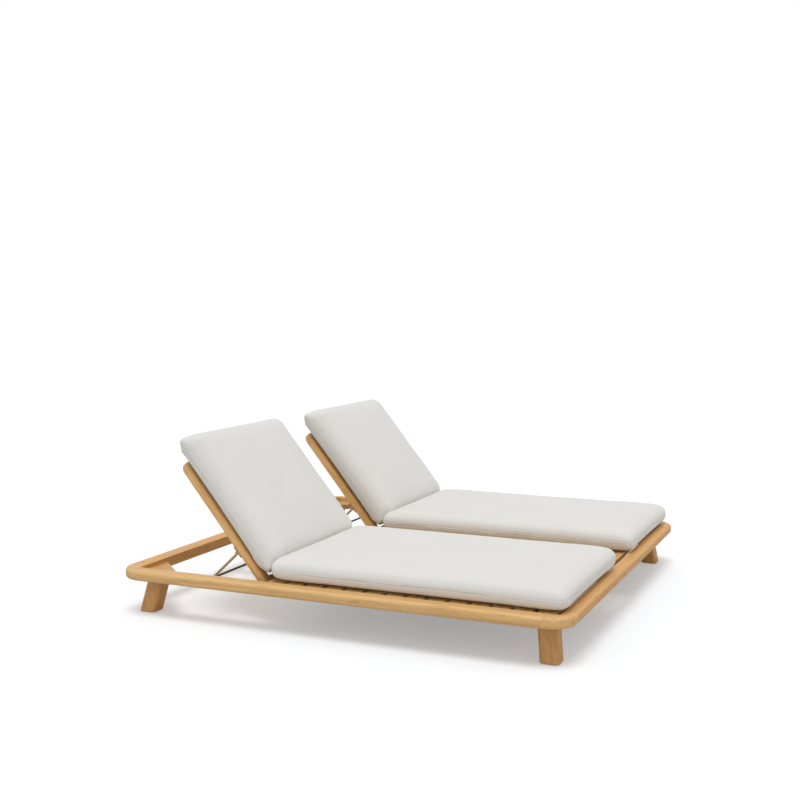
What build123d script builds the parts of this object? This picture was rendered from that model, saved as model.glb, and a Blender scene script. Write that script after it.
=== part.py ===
from build123d import *
import os
from math import cos, hypot, radians, sin, sqrt

# Double chaise lounger in teak: one low platform frame on four splayed legs, a slatted deck, and
# two reclining backrests side by side, each held up by a hinged metal prop in a notched rail.
# Millimetres. +X points to the foot end, +Y to the far side, +Z up.
# The origin lies on the floor under the middle of the frame.

# Platform frame
frame_length = 2050.0
frame_width = 2064.0
frame_top = 205.0
rail_height = 47.0
side_rail_width = 66.0
head_rail_width = 82.0
foot_rail_width = 56.0
corner_radius = 110.0
rail_round = 15.0
rail_arris = 3.0
tenon_length = 24.0
tenon_height = 18.0
tenon_shoulder = 14.0
joint_clearance = 0.2

# Corner gussets and legs
gusset_leg = 210.0
leg_size = 80.0
leg_corner = 17.0
leg_splay_x = 24.0
leg_splay_y = 40.0
leg_inset_x = 102.0
leg_inset_y = 118.0
leg_foot_chamfer = 3.0
glide_diameter = 44.0
glide_height = 6.0
glide_proud = 2.0
glide_edge = 1.0
leg_stud_diameter = 10.0
leg_stud_depth = 45.0
leg_stud_rise = 20.0

# Slatted deck and the rails that carry it
slat_count = 14
slat_gap = 18.4
slat_thickness = 20.0
slat_arris = 3.0
slat_end_gap = 1.5
deck_clearance = 17.7
ledge_width = 30.0
bearer_width = 50.0
carrier_height = 37.0
bearer_tenon_length = 20.0
bearer_tenon_height = 15.0
bearer_tenon_shoulder = 10.0
screw_diameter = 4.5
screw_length = 38.0
screw_head_diameter = 9.0
screw_head_height = 3.0

# Backrests: each turns about a pin near its lower end, and lies on the head rail when it is down
centre_gap = 419.0
back_side_gap = 48.5
pivot_from_head = 599.0
pivot_drop = 28.0
recline_angle = 50.65
back_lap = 38.0
back_tail = 22.0
back_rail_width = 45.0
back_rail_depth = 40.0
back_corner_radius = 40.0
back_inner_radius = 8.0
back_return = 10.0
back_round = 12.0
back_arris = 4.0
back_tenon_length = 18.0
back_tenon_depth = 16.0
back_tenon_shoulder = 10.0
back_slat_count = 6
back_slat_width = 72.0
back_slat_depth = 20.0
back_slat_proud = 8.0
back_slat_tenon_length = 8.0
back_slat_tenon_depth = 9.0
back_slat_shoulder = 8.0
hinge_pin_diameter = 12.0
hinge_pin_hold = 30.0
hinge_collar_diameter = 15.0
hinge_clearance = 0.3
hinge_post_length = 52.0
hinge_post_rise = 19.0
bearer_clearance = 18.0

# Props: two arms hung from the backrest and a cross bar that drops into the notches
prop_hang = 179.4
prop_drop = 12.0
prop_bar_behind = 267.0
prop_bar_below = 3.0
prop_bar_diameter = 10.0
prop_bar_end_gap = 6.5
prop_arm_diameter = 12.0
prop_eye_diameter = 16.0
prop_eye_width = 13.0
prop_pin_diameter = 6.0
prop_fit = 0.1
bracket_plate = 3.0
bracket_length = 56.0
bracket_width = 36.0
bracket_ear = 3.0
bracket_ear_gap = 0.5
bracket_ear_diameter = 18.0
notch_clearance = 0.5
notch_depth = 5.0
rack_clearance = 1.4
notch_angles = [50.65, 41.0, 31.0, 19.0]
rack_end_ahead = 44.0

# Cushions
seat_cushion_inset = 30.0
seat_cushion_overhang = 15.5
seat_cushion_thickness = 105.0
seat_cushion_crown = 16.0
seat_cushion_corner = 45.0
seat_cushion_side = 36.0
back_cushion_start = 23.0
back_cushion_rise = 78.0
back_cushion_overhang = 33.5
back_cushion_thickness = 132.0
back_cushion_crown = 24.0
back_cushion_corner = 28.0
back_cushion_side = 60.0
cushion_draw_in = 6.0
cushion_gap = 0.3
cushion_meeting_gap = 0.5
cushion_fit_steps = 40
cushion_side_angle = 80.0
cushion_side_steps = 8
cushion_crown_share = 0.34
cushion_crown_steps = 4

# One overrun serves every cut that must pass a face
overrun = 1.0

# Derived places
deck_top = frame_top
rail_bottom = frame_top - rail_height
deck_underside = deck_top - slat_thickness
carrier_bottom = deck_underside - carrier_height
half_length = frame_length / 2
half_width = frame_width / 2
side_inner_y = half_width - side_rail_width
head_inner_x = -half_length + head_rail_width
foot_inner_x = half_length - foot_rail_width
foot_x = half_length - leg_inset_x
foot_y = half_width - leg_inset_y
leg_top_x = foot_x - leg_splay_x
leg_top_y = foot_y - leg_splay_y
back_width = side_inner_y - back_side_gap - centre_gap / 2
back_half = back_width / 2
back_mid = back_rail_depth / 2
back_joint = back_rail_width + back_return
back_front = back_mid + back_slat_proud
back_reach = pivot_from_head + back_lap
back_swing = hypot(back_tail, back_mid)
lounger_y = (centre_gap + back_width) / 2
pivot_x = head_inner_x + pivot_from_head
pivot_z = deck_top - pivot_drop
deck_head_x = pivot_x + back_swing + deck_clearance
slat_pitch = (foot_inner_x - deck_head_x) / slat_count
slat_width = slat_pitch - slat_gap
bearer_outer_y = centre_gap / 2 - bearer_clearance
bearer_inner_y = bearer_outer_y - bearer_width
prop_side = back_half - back_rail_width / 2
bracket_bottom = back_mid + prop_drop
prop_bar_x = pivot_x - prop_bar_behind
prop_bar_z = pivot_z - prop_bar_below
prop_bar_half_length = back_half + back_side_gap - prop_bar_end_gap
rack_end_x = pivot_x + rack_end_ahead

os.makedirs("parts", exist_ok=True)


def save(shape, name):
    """Write one piece as its own named file."""
    shape.label = name
    export_step(shape, f"parts/{name}.step")


def block(x0, x1, y0, y1, z0, z1):
    """A box between two corners."""
    size = (abs(x1 - x0), abs(y1 - y0), abs(z1 - z0))
    middle = ((x0 + x1) / 2, (y0 + y1) / 2, (z0 + z1) / 2)
    return Pos(*middle) * Box(*size)


def rod(diameter, start, end):
    """A round bar between two points."""
    axis = Vector(*end) - Vector(*start)
    plane = Plane(origin=start, z_dir=axis)
    return extrude(plane * Circle(diameter / 2), amount=axis.length)


def flip(shape, side_x=1, side_y=1):
    """Mirror a piece modelled in the +X +Y quarter to another quarter."""
    if side_x < 0:
        shape = mirror(shape, about=Plane.YZ)
    if side_y < 0:
        shape = mirror(shape, about=Plane.XZ)
    return shape


def rail_section(width, height, outer_round, inner_round):
    """Rail profile with its outer face at 0, its inner face at width and its middle at height 0."""
    shape = Pos(width / 2, 0) * Rectangle(width, height)
    outer = shape.vertices().filter_by(lambda v: v.X < width / 2)
    shape = fillet(outer, outer_round)
    inner = shape.vertices().filter_by(lambda v: v.X > width - inner_round / 2)
    return fillet(inner, inner_round)


# Platform frame: four rails and four rounded corner blocks, tenoned together


def side_tenon(clearance):
    """Tenon on a side rail's foot end, between the rail and its corner block."""
    x0 = half_length - corner_radius - overrun
    x1 = half_length - corner_radius + tenon_length
    y0 = side_inner_y + tenon_shoulder - clearance
    y1 = half_width - tenon_shoulder - rail_round / 2 + clearance
    z_mid = frame_top - rail_height / 2
    half = tenon_height / 2 + clearance
    return block(x0, x1 + clearance, y0, y1, z_mid - half, z_mid + half)


def end_tenon(end_width, clearance):
    """Tenon on the far end of a head or foot rail."""
    y0 = half_width - corner_radius - overrun
    y1 = half_width - corner_radius + tenon_length
    x0 = half_length - end_width + tenon_shoulder - clearance
    x1 = half_length - tenon_shoulder - rail_round / 2 + clearance
    z_mid = frame_top - rail_height / 2
    half = tenon_height / 2 + clearance
    return block(x0, x1, y0, y1 + clearance, z_mid - half, z_mid + half)


def side_rail():
    """The far side rail; both ends carry a tenon."""
    profile = rail_section(side_rail_width, rail_height, rail_round, rail_arris)
    run = frame_length - 2 * corner_radius
    start = (-run / 2, half_width, frame_top - rail_height / 2)
    plane = Plane(origin=start, x_dir=(0, -1, 0), z_dir=(1, 0, 0))
    rail = extrude(plane * profile, amount=run)
    tenon = side_tenon(0)
    rail = rail + tenon + mirror(tenon, about=Plane.YZ)
    return rail - hinge_hole(side_inner_y, side_inner_y + hinge_pin_hold)


def end_rail(end_width):
    """A head or foot rail, modelled at the +X end; both ends carry a tenon."""
    profile = rail_section(end_width, rail_height, rail_round, rail_arris)
    run = frame_width - 2 * corner_radius
    start = (half_length, -run / 2, frame_top - rail_height / 2)
    plane = Plane(origin=start, x_dir=(-1, 0, 0), z_dir=(0, 1, 0))
    rail = extrude(plane * profile, amount=run)
    tenon = end_tenon(end_width, 0)
    rail = rail + tenon + mirror(tenon, about=Plane.XZ)
    for side in (-1, 1):
        rail = rail - flip(bearer_tenon(half_length - end_width, joint_clearance), 1, side)
    return rail


def corner_block(end_width):
    """Rounded corner of the frame, modelled in the +X +Y quarter."""
    arc_x = half_length - corner_radius
    arc_y = half_width - corner_radius
    notch_x = half_length - end_width
    outline = Polyline(
        (notch_x, side_inner_y),
        (notch_x, arc_y),
        (half_length, arc_y),
    )
    arc = RadiusArc((half_length, arc_y), (arc_x, half_width), -corner_radius)
    back = Polyline((arc_x, half_width), (arc_x, side_inner_y), (notch_x, side_inner_y))
    plan = make_face(outline + arc + back)
    solid = Pos(0, 0, rail_bottom) * extrude(plan, amount=rail_height)
    curved = solid.edges().filter_by(GeomType.CIRCLE)
    solid = fillet(curved, rail_round)
    solid = solid - side_tenon(joint_clearance)
    return solid - end_tenon(end_width, joint_clearance)


# Corner gussets, legs, glides and leg studs


def gusset(end_width):
    """Triangular block that ties two rails and carries the leg, in the +X +Y quarter."""
    x1 = half_length - end_width
    y1 = side_inner_y
    plan = make_face(Polyline((x1, y1), (x1 - gusset_leg, y1), (x1, y1 - gusset_leg), close=True))
    solid = Pos(0, 0, rail_bottom) * extrude(plan, amount=deck_underside - rail_bottom)
    return solid - leg_stud(joint_clearance)


def leg():
    """Splayed leg of rounded square section, in the +X +Y quarter."""
    square = RectangleRounded(leg_size, leg_size, leg_corner)
    bottom = Pos(foot_x, foot_y, glide_proud) * square
    top = Pos(leg_top_x, leg_top_y, rail_bottom) * square
    solid = loft([bottom.face(), top.face()], ruled=True)
    solid = chamfer(solid.faces().sort_by(Axis.Z)[0].edges(), leg_foot_chamfer)
    pocket = rod(glide_diameter + 2 * joint_clearance, (foot_x, foot_y, 0), (foot_x, foot_y, glide_height))
    return solid - leg_stud(joint_clearance) - pocket


def foot_glide():
    """Round plastic glide let into the leg's underside."""
    disc = rod(glide_diameter, (foot_x, foot_y, 0), (foot_x, foot_y, glide_height))
    return chamfer(disc.edges().sort_by(Axis.Z)[0], glide_edge)


def leg_stud(clearance):
    """Upright stud hidden in the leg's top and the gusset's underside, or the hole that takes it."""
    low = rail_bottom - leg_stud_depth - clearance
    high = rail_bottom + leg_stud_rise + clearance
    return rod(leg_stud_diameter + 2 * clearance, (leg_top_x, leg_top_y, low), (leg_top_x, leg_top_y, high))


# Deck slats and what carries them


def slat_span(index):
    """X of the head side and the foot side of one deck slat, counted from the foot end."""
    foot_side = foot_inner_x - slat_gap - index * slat_pitch
    return foot_side - slat_width, foot_side


def screw_places(index):
    """Where one slat is screwed down: to both ledges and both bearers."""
    head_side, foot_side = slat_span(index)
    x = (head_side + foot_side) / 2
    rows = (side_inner_y - ledge_width / 2, (bearer_inner_y + bearer_outer_y) / 2)
    return [(x, side * y) for y in rows for side in (-1, 1)]


def deck_screw(x, y):
    """Countersunk screw, its head flush with the deck."""
    neck = deck_top - screw_head_height
    shank = rod(screw_diameter, (x, y, deck_top - screw_length), (x, y, neck))
    head = loft([
        (Pos(x, y, neck) * Circle(screw_diameter / 2)).face(),
        (Pos(x, y, deck_top) * Circle(screw_head_diameter / 2)).face(),
    ], ruled=True)
    return shank + head


def screw_hole(x, y):
    """Room for one deck screw, with clearance all round."""
    neck = deck_top - screw_head_height
    wide = screw_head_diameter / 2 + joint_clearance
    narrow = screw_diameter / 2 + joint_clearance
    foot = deck_top - screw_length - joint_clearance
    shank = rod(2 * narrow, (x, y, foot), (x, y, deck_top + overrun))
    head = loft([
        (Pos(x, y, neck - joint_clearance) * Circle(narrow)).face(),
        (Pos(x, y, deck_top + joint_clearance) * Circle(wide + joint_clearance)).face(),
    ], ruled=True)
    return shank + head


def deck_slat(index):
    """One slat across the whole platform."""
    head_side, foot_side = slat_span(index)
    reach = side_inner_y - slat_end_gap
    slat = block(head_side, foot_side, -reach, reach, deck_underside, deck_top)
    slat = fillet(slat.edges().filter_by(Axis.Y), slat_arris)
    for x, y in screw_places(index):
        slat = slat - screw_hole(x, y)
    return slat


def carrier_screw_holes(y_low, y_high, x_limit):
    """Screw holes that fall on a carrier lying between two y values and headward of a limit."""
    holes = []
    for index in range(slat_count):
        for x, y in screw_places(index):
            if y_low < y < y_high and x < x_limit:
                holes.append(screw_hole(x, y))
    return holes


def hinge_hole(y0, y1):
    """Bore for a hinge pin along Y."""
    size = hinge_pin_diameter + 2 * joint_clearance
    return rod(size, (pivot_x, y0 - overrun, pivot_z), (pivot_x, y1 + joint_clearance, pivot_z))


def prop_geometry(angle):
    """Where the prop hangs and where its cross bar lies when the backrest stands at an angle."""
    a = radians(angle)
    hang_x = pivot_x - prop_hang * cos(a) - bracket_bottom * sin(a)
    hang_z = pivot_z + prop_hang * sin(a) - bracket_bottom * cos(a)
    return hang_x, hang_z


hang_x, hang_z = prop_geometry(recline_angle)
prop_length = hypot(hang_x - prop_bar_x, hang_z - prop_bar_z)
rack_crest = prop_bar_z - prop_bar_diameter / 2 - rack_clearance


def notch_x(angle):
    """X of the notch that holds the backrest at an angle."""
    x, z = prop_geometry(angle)
    return x - sqrt(prop_length ** 2 - (z - prop_bar_z) ** 2)


def rack_cut(x0, y0, y1):
    """Lowers a carrier's head part to the notch crests and scoops the notches."""
    cut = block(x0, rack_end_x, y0, y1, rack_crest, frame_top)
    radius = prop_bar_diameter / 2 + notch_clearance
    for angle in notch_angles:
        x = notch_x(angle)
        z = rack_crest - notch_depth + radius
        cut = cut + rod(2 * radius, (x, y0, z), (x, y1, z))
    return cut


def side_ledge():
    """Batten on the far side rail's inner face: carries the slats and holds the outer notches."""
    x0 = head_inner_x + gusset_leg
    x1 = foot_inner_x - gusset_leg
    y0 = side_inner_y - ledge_width
    ledge = block(x0, x1, y0, side_inner_y, carrier_bottom, deck_underside)
    ledge = ledge - rack_cut(x0 - overrun, y0 - overrun, side_inner_y + overrun)
    return ledge - carrier_screw_holes(y0, side_inner_y, x1)


def bearer_tenon(inner_x, clearance):
    """Tenon of a bearer into the rail at the +X end, on the +Y side."""
    y0 = bearer_inner_y + bearer_tenon_shoulder - clearance
    y1 = bearer_outer_y - bearer_tenon_shoulder + clearance
    z_mid = (rail_bottom + deck_underside) / 2
    half = bearer_tenon_height / 2 + clearance
    x0 = inner_x - overrun
    x1 = inner_x + bearer_tenon_length + clearance
    return block(x0, x1, y0, y1, z_mid - half, z_mid + half)


def bearer():
    """Inner bearer on the far side of the centre line, from the head rail to the foot rail."""
    y0 = bearer_inner_y
    y1 = bearer_outer_y
    beam = block(head_inner_x, foot_inner_x, y0, y1, carrier_bottom, deck_underside)
    beam = beam - rack_cut(head_inner_x - overrun, y0 - overrun, y1 + overrun)
    post_x0 = pivot_x - hinge_post_length / 2
    post_x1 = pivot_x + hinge_post_length / 2
    post = block(post_x0, min(post_x1, rack_end_x), y0, y1, rack_crest - overrun, pivot_z + hinge_post_rise)
    beam = beam + post
    beam = beam + bearer_tenon(foot_inner_x, 0)
    beam = beam + mirror(bearer_tenon(-head_inner_x, 0), about=Plane.YZ)
    beam = beam - hinge_hole(y1 - hinge_pin_hold, y1 + overrun)
    return beam - carrier_screw_holes(y0, y1, foot_inner_x)


def gusset_with_screws(end_width, side_x):
    """Gusset with the holes of the deck screws that reach it, in the +X +Y quarter."""
    solid = gusset(end_width)
    edge = half_length - end_width - gusset_leg
    for index in range(slat_count):
        for x, y in screw_places(index):
            if y > bearer_outer_y and side_x * x > edge:
                solid = solid - flip(screw_hole(x, y), side_x, 1)
    return solid


def hinge_pins():
    """Four stepped pins: held in the side rails and the bearers, turning in the backrests."""
    pins = []
    for side in (-1, 1):
        outer_face = lounger_y + back_half
        inner_face = centre_gap / 2
        spans = (
            (side_inner_y + hinge_pin_hold, side_inner_y, outer_face, outer_face - hinge_pin_hold),
            (bearer_outer_y - hinge_pin_hold, bearer_outer_y, inner_face, inner_face + hinge_pin_hold),
        )
        for held_end, held_face, back_face, free_end in spans:
            step = hinge_clearance if back_face < held_face else -hinge_clearance
            pin = rod(hinge_pin_diameter, (pivot_x, held_end, pivot_z), (pivot_x, free_end, pivot_z))
            collar = rod(
                hinge_collar_diameter, (pivot_x, held_face, pivot_z), (pivot_x, back_face + step, pivot_z)
            )
            pins.append(flip(pin + collar, 1, side))
    return Compound(children=pins)


# Backrests. Local frame: x along the backrest from the hinge pin to the top, z out of its front,
# y across it. The plane below sets it at the recline angle.


def back_plane(side):
    a = radians(recline_angle)
    origin = (pivot_x, side * lounger_y, pivot_z)
    return Plane(origin=origin, x_dir=(-cos(a), 0, sin(a)), z_dir=(sin(a), 0, cos(a))).location


def back_side_rail(local_side):
    """Side rail of a backrest with a tenon at each end."""
    profile = rail_section(back_rail_width, back_rail_depth, back_round, back_arris)
    x0 = -back_tail + back_joint
    x1 = back_reach - back_joint
    start = (x0, back_half, 0)
    plane = Plane(origin=start, x_dir=(0, -1, 0), z_dir=(1, 0, 0))
    rail = extrude(plane * profile, amount=x1 - x0)
    tenons = back_side_tenon(0)
    rail = rail + tenons
    for index in range(back_slat_count):
        rail = rail - back_slat_tenon(index, joint_clearance)
    return rail if local_side > 0 else mirror(rail, about=Plane.XZ)


def back_side_tenon(clearance):
    """Both end tenons of a backrest side rail, as one bar that runs through the rail's middle."""
    x0 = -back_tail + back_joint - back_tenon_length - clearance
    x1 = back_reach - back_joint + back_tenon_length + clearance
    y0 = back_half - back_rail_width + back_tenon_shoulder - clearance
    y1 = back_half - back_tenon_shoulder + clearance
    half = back_tenon_depth / 2 + clearance
    return block(x0, x1, y0, y1, -half, half)


def back_end_rail():
    """Top rail of a backrest with its two rounded corners, as if the backrest ended at x = 0."""
    arc_y = back_half - back_corner_radius
    inner_x = -back_rail_width
    inner_y = back_half - back_rail_width
    joint_x = -back_joint
    bar = block(joint_x, 0, -back_half, back_half, -back_mid, back_mid)
    corners = bar.edges().filter_by(Axis.Z).group_by(Axis.X)[-1]
    bar = fillet(corners, back_corner_radius)
    void = block(joint_x - overrun, inner_x, -inner_y, inner_y, -back_mid - overrun, back_mid + overrun)
    void = fillet(void.edges().filter_by(Axis.Z).group_by(Axis.X)[-1], back_inner_radius)
    bar = bar - void
    faces = bar.faces().filter_by(Axis.Z)
    edges = faces[0].edges() + faces[-1].edges()
    free = edges.filter_by(lambda e: e.center().X > joint_x + overrun / 2)

    def is_inner(edge):
        point = edge.center()
        return point.X < inner_x + overrun and abs(point.Y) < inner_y + overrun

    bar = fillet(free.filter_by(lambda e: not is_inner(e)), back_round)
    faces = bar.faces().filter_by(Axis.Z)
    edges = faces[0].edges() + faces[-1].edges()
    free = edges.filter_by(lambda e: e.center().X > joint_x + overrun / 2)
    return fillet(free.filter_by(is_inner), back_arris)


def back_top_rail():
    rail = Pos(back_reach, 0, 0) * back_end_rail()
    mortise = back_side_tenon(joint_clearance)
    return rail - mortise - mirror(mortise, about=Plane.XZ)


def back_bottom_rail():
    """Bottom rail of a backrest; its ends are bored for the hinge pins."""
    rail = Pos(-back_tail, 0, 0) * mirror(back_end_rail(), about=Plane.YZ)
    mortise = back_side_tenon(joint_clearance)
    rail = rail - mortise - mirror(mortise, about=Plane.XZ)
    size = hinge_pin_diameter + 2 * hinge_clearance
    foot_y = back_half - hinge_pin_hold - hinge_clearance
    for side in (-1, 1):
        rail = rail - rod(size, (0, side * foot_y, 0), (0, side * (back_half + overrun), 0))
    return rail


def back_slat_span(index):
    """X of the lower and upper edge of one backrest slat."""
    low = -back_tail + back_rail_width
    high = back_reach - back_rail_width
    gap = (high - low - back_slat_count * back_slat_width) / (back_slat_count + 1)
    x0 = low + gap + index * (gap + back_slat_width)
    return x0, x0 + back_slat_width


def back_slat_tenon(index, clearance):
    """Stub tenon of a backrest slat into the side rail on the +y side."""
    x0, x1 = back_slat_span(index)
    y0 = back_half - back_rail_width - overrun
    y1 = back_half - back_rail_width + back_slat_tenon_length + clearance
    z0 = back_front - back_slat_depth
    z1 = z0 + back_slat_tenon_depth
    margin = back_slat_shoulder - clearance
    return block(x0 + margin, x1 - margin, y0, y1, z0 - clearance, z1 + clearance)


def back_slats():
    """The slats of one backrest, tenoned between its side rails."""
    slats = []
    reach = back_half - back_rail_width
    z1 = back_front
    for index in range(back_slat_count):
        x0, x1 = back_slat_span(index)
        slat = block(x0, x1, -reach, reach, z1 - back_slat_depth, z1)
        slat = fillet(slat.edges().filter_by(Axis.Y), slat_arris)
        tenon = back_slat_tenon(index, 0)
        slats.append(slat + tenon + mirror(tenon, about=Plane.XZ))
    return Compound(children=slats)


# Props


def prop_brackets():
    """Two clevis brackets on the backs of the side rails, each with its riveted cross pin."""
    brackets = []
    ear_low = prop_eye_width / 2 + bracket_ear_gap
    ear_high = ear_low + bracket_ear
    z_pin = -bracket_bottom
    x0 = prop_hang - bracket_length / 2
    for side in (-1, 1):
        y = side * prop_side
        half = bracket_width / 2
        plate_z = -back_mid - bracket_plate
        bracket = block(x0, x0 + bracket_length, y - half, y + half, plate_z, -back_mid)
        for ear_side in (-1, 1):
            low = y + ear_side * ear_low
            high = y + ear_side * ear_high
            ear = rod(bracket_ear_diameter, (prop_hang, low, z_pin), (prop_hang, high, z_pin))
            web = bracket_ear_diameter / 2
            stem = block(prop_hang - web, prop_hang + web, low, high, z_pin, plate_z + bracket_plate / 2)
            bracket = bracket + ear + stem
        pin = rod(prop_pin_diameter, (prop_hang, y - ear_high, z_pin), (prop_hang, y + ear_high, z_pin))
        brackets.append(bracket + pin)
    return Compound(children=brackets)


def prop_arm(y):
    """One arm of a prop: a round rod with an eye at each end."""
    half = prop_eye_width / 2
    top = (hang_x, y, hang_z)
    foot = (prop_bar_x, y, prop_bar_z)
    arm = rod(prop_arm_diameter, foot, top)
    arm = arm + rod(prop_eye_diameter, (hang_x, y - half, hang_z), (hang_x, y + half, hang_z))
    arm = arm + rod(prop_eye_diameter, (prop_bar_x, y - half, prop_bar_z), (prop_bar_x, y + half, prop_bar_z))
    pin_hole = prop_pin_diameter + 2 * hinge_clearance
    reach = half + overrun
    arm = arm - rod(pin_hole, (hang_x, y - reach, hang_z), (hang_x, y + reach, hang_z))
    bar_hole = prop_bar_diameter + 2 * prop_fit
    return arm - rod(bar_hole, (prop_bar_x, y - reach, prop_bar_z), (prop_bar_x, y + reach, prop_bar_z))


def prop_bar(y):
    """Cross bar whose ends lie in the notches."""
    reach = prop_bar_half_length
    bar = rod(prop_bar_diameter, (prop_bar_x, y - reach, prop_bar_z), (prop_bar_x, y + reach, prop_bar_z))
    return chamfer(bar.edges(), prop_fit * prop_bar_diameter)


# Cushions: lofted through rounded outlines whose sides draw in between the corners. The sides
# bulge like half an ellipse from the bottom to the shoulder; the top rises further to a crown.


def side_inset(level, thickness, side):
    """How far a cushion's side lies inside its widest outline at one level."""
    rise = (2 * level / thickness - 1) * sin(radians(cushion_side_angle))
    return side * (1 - sqrt(1 - rise ** 2))


def cushion_outline(length, width, corner, inset, level):
    """Closed outline at one level: four corner arcs and four slightly drawn-in sides."""
    x0, x1 = inset, length - inset
    y0, y1 = -width / 2 + inset, width / 2 - inset
    r = corner
    k = r * (1 - sqrt(0.5))
    xm = (x0 + x1) / 2
    z = level
    draw_in = cushion_draw_in
    lines = [
        ThreePointArc((x0 + r, y0, z), (xm, y0 + draw_in, z), (x1 - r, y0, z)),
        ThreePointArc((x1 - r, y0, z), (x1 - k, y0 + k, z), (x1, y0 + r, z)),
        ThreePointArc((x1, y0 + r, z), (x1 - draw_in, 0, z), (x1, y1 - r, z)),
        ThreePointArc((x1, y1 - r, z), (x1 - k, y1 - k, z), (x1 - r, y1, z)),
        ThreePointArc((x1 - r, y1, z), (xm, y1 - draw_in, z), (x0 + r, y1, z)),
        ThreePointArc((x0 + r, y1, z), (x0 + k, y1 - k, z), (x0, y1 - r, z)),
        ThreePointArc((x0, y1 - r, z), (x0 + draw_in, 0, z), (x0, y0 + r, z)),
        ThreePointArc((x0, y0 + r, z), (x0 + k, y0 + k, z), (x0 + r, y0, z)),
    ]
    return make_face(Wire(lines))


def cushion(length, width, thickness, crown, corner, side):
    """A crowned cushion lying on z = 0 with its near end at x = 0."""
    bulge = thickness / 2
    outlines = []
    for step in range(cushion_side_steps + 1):
        angle = radians(cushion_side_angle) * (2 * step / cushion_side_steps - 1)
        level = bulge * (1 + sin(angle) / sin(radians(cushion_side_angle)))
        inset = side_inset(level, thickness, side)
        outlines.append(cushion_outline(length, width, corner, inset, level))
    shoulder = inset
    crown_inset = min(length, width) * cushion_crown_share
    for step in range(1, cushion_crown_steps + 1):
        share = step / cushion_crown_steps
        level = thickness + crown * (1 - (1 - share) ** 2)
        inset = shoulder + share * (crown_inset - shoulder)
        outlines.append(cushion_outline(length, width, corner, inset, level))
    return loft(outlines, ruled=True)


def seat_cushion_head_x():
    """X of the seat cushion's head end, just clear of the back cushion's lower end."""
    a = radians(recline_angle)
    places = []
    for step in range(cushion_fit_steps + 1):
        level = back_cushion_thickness * step / cushion_fit_steps
        along = back_cushion_start + side_inset(level, back_cushion_thickness, back_cushion_side)
        out = back_front + cushion_gap + level
        x = pivot_x - along * cos(a) + out * sin(a)
        z = pivot_z + along * sin(a) + out * cos(a)
        seat_level = z - deck_top - cushion_gap
        if 0 <= seat_level <= seat_cushion_thickness:
            places.append(x - side_inset(seat_level, seat_cushion_thickness, seat_cushion_side))
    return max(places) + cushion_meeting_gap


def seat_cushion(side):
    head_x = seat_cushion_head_x()
    length = half_length - seat_cushion_inset - head_x
    width = 2 * (side_inner_y + seat_cushion_overhang - lounger_y)
    size = (length, width, seat_cushion_thickness, seat_cushion_crown)
    solid = cushion(*size, seat_cushion_corner, seat_cushion_side)
    return Pos(head_x, side * lounger_y, deck_top + cushion_gap) * solid


def back_cushion(side):
    length = back_reach + back_cushion_rise - back_cushion_start
    width = back_width + 2 * back_cushion_overhang
    size = (length, width, back_cushion_thickness, back_cushion_crown)
    solid = cushion(*size, back_cushion_corner, back_cushion_side)
    return back_plane(side) * Pos(back_cushion_start, 0, back_front + cushion_gap) * solid


def build_frame():
    save(side_rail(), "far_side_rail")
    save(flip(side_rail(), 1, -1), "near_side_rail")
    save(end_rail(foot_rail_width), "foot_rail")
    save(flip(end_rail(head_rail_width), -1, 1), "head_rail")
    for side_y, side_name in ((-1, "near"), (1, "far")):
        for side_x, end_name, end_width in ((-1, "head", head_rail_width), (1, "foot", foot_rail_width)):
            place = f"{end_name}_{side_name}"
            save(flip(corner_block(end_width), side_x, side_y), f"corner_block_{place}")
            save(flip(gusset_with_screws(end_width, side_x), side_x, side_y), f"gusset_{place}")
            save(flip(leg(), side_x, side_y), f"leg_{place}")
    quarters = [(side_x, side_y) for side_x in (-1, 1) for side_y in (-1, 1)]
    save(Compound(children=[flip(foot_glide(), *quarter) for quarter in quarters]), "foot_glides")
    save(Compound(children=[flip(leg_stud(0), *quarter) for quarter in quarters]), "leg_studs")


def build_deck():
    screws = []
    for index in range(slat_count):
        save(deck_slat(index), f"deck_slat_{index + 1:02d}")
        screws = screws + [deck_screw(x, y) for x, y in screw_places(index)]
    save(Compound(children=screws), "deck_screws")
    for side, name in ((-1, "near"), (1, "far")):
        save(flip(side_ledge(), 1, side), f"{name}_side_ledge")
        save(flip(bearer(), 1, side), f"{name}_inner_bearer")
    save(hinge_pins(), "hinge_pins")


def build_lounger(side, name):
    plane = back_plane(side)
    # The local y axis points to -Y, so the outer side of the near backrest is local +y.
    save(plane * back_side_rail(-side), f"{name}_back_rail_outer")
    save(plane * back_side_rail(side), f"{name}_back_rail_inner")
    save(plane * back_top_rail(), f"{name}_back_rail_top")
    save(plane * back_bottom_rail(), f"{name}_back_rail_bottom")
    save(plane * back_slats(), f"{name}_back_slats")
    save(plane * prop_brackets(), f"{name}_prop_brackets")
    centre = side * lounger_y
    save(prop_arm(centre + side * prop_side), f"{name}_prop_arm_outer")
    save(prop_arm(centre - side * prop_side), f"{name}_prop_arm_inner")
    save(prop_bar(centre), f"{name}_prop_bar")
    save(seat_cushion(side), f"{name}_seat_cushion")
    save(back_cushion(side), f"{name}_back_cushion")


build_frame()
build_deck()
build_lounger(-1, "near")
build_lounger(1, "far")
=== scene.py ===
import math

import bmesh
import bpy
from mathutils import Matrix, Vector, noise


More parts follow.
